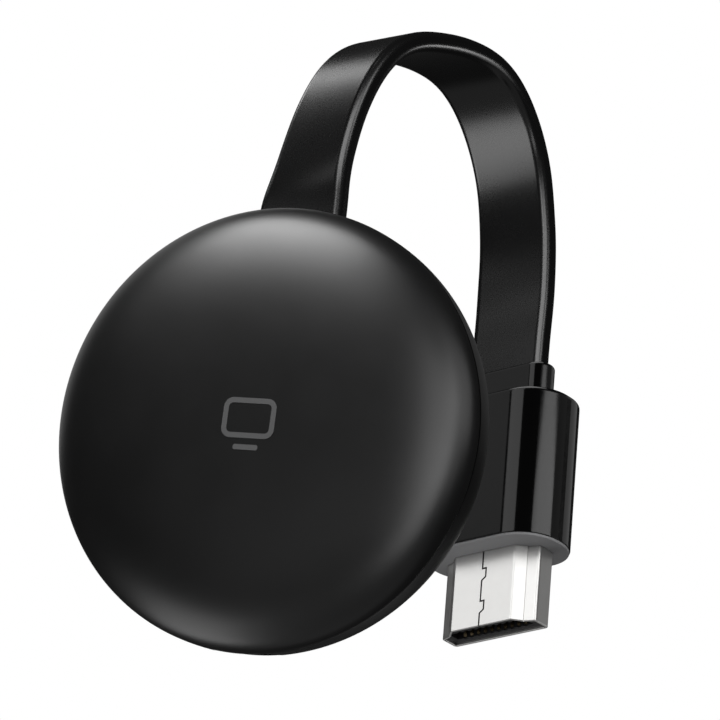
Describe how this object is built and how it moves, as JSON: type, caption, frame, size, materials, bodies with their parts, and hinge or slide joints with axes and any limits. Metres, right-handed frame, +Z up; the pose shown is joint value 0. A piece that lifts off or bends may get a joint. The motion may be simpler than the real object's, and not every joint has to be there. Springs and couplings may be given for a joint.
{
  "type": "wireless hdmi adapter",
  "caption": "Round domed casting puck on a short flat captive cable that ends in an HDMI plug, with a micro USB power inlet and a push button in its rim.",
  "frame": {"origin": "middle of the plug's shoulder, where the metal shell leaves the grip's end plate", "axes": "-Z out of the plug's mouth, +Z up the grip to the cable, +Y from the hanging puck to the plug, with the plug's narrow side towards -Y, and +X to the right seen from the puck's side"},
  "size_m": [0.0514, 0.0548, 0.0828],
  "materials": {
    "satin_black": "satin",
    "matte_black": "fine matte",
    "circuit_board": "solder mask",
    "screw_steel": "zinc plated",
    "chip_black": "moulded",
    "can_metal": "satin",
    "ferrite": "matte",
    "ceramic_tan": "matte",
    "thermal_pad": "matte",
    "spreader_aluminium": "satin",
    "antenna_metal": "satin",
    "inlet_steel": "satin",
    "inlet_black": "matte",
    "gold_contacts": "gold plated",
    "switch_white": "matte",
    "button_black": "satin",
    "led_resin": "clear resin",
    "clear_pipe": "clear polycarbonate",
    "wire_copper": "enamelled",
    "cable_black": "glossy",
    "boot_black": "glossy",
    "plate_grey": "matte",
    "mould_ivory": "matte",
    "plug_nickel": "nickel plated",
    "insulator_black": "matte"
  },
  "bodies": {
    "adapter": {"front_shell": "satin_black", "rear_shell": "matte_black", "main_board": "circuit_board", "board_screws": "screw_steel", "processor_chip": "chip_black", "memory_chip": "chip_black", "storage_chip": "chip_black", "power_chip": "chip_black", "wifi_chip": "chip_black", "crystal": "can_metal", "inductors": "ferrite", "capacitors": "ceramic_tan", "shield_frame": "can_metal", "shield_lid": "can_metal", "processor_pad": "thermal_pad", "spreader_pad": "thermal_pad", "heat_spreader": "spreader_aluminium", "rear_shield": "can_metal", "antenna_left": "antenna_metal", "antenna_right": "antenna_metal", "usb_shell": "inlet_steel", "usb_tongue": "inlet_black", "usb_contacts": "gold_contacts", "switch_body": "chip_black", "status_led": "led_resin", "light_pipe": "clear_pipe", "cable_anchor": "chip_black", "anchor_screws": "screw_steel", "puck_wires": "wire_copper", "flat_cable": "cable_black", "plug_collar": "boot_black", "plug_boot": "boot_black", "plug_end_plate": "plate_grey", "plug_inner_mould": "mould_ivory", "plug_board": "circuit_board", "plug_wires": "wire_copper", "hdmi_shell": "plug_nickel", "hdmi_insulator": "insulator_black", "hdmi_contacts_wide": "gold_contacts", "hdmi_contacts_narrow": "gold_contacts"},
    "button": {"button_cap": "button_black", "switch_plunger": "switch_white"}
  },
  "joints": [
    {"name": "button_press", "type": "slide", "parent": "adapter", "child": "button", "axis": [0.728, 0.0709, 0.6819], "range_m": [0, 0.0004], "stiffness_N_per_m": 2000, "springref_m": -0.0004}
  ]
}
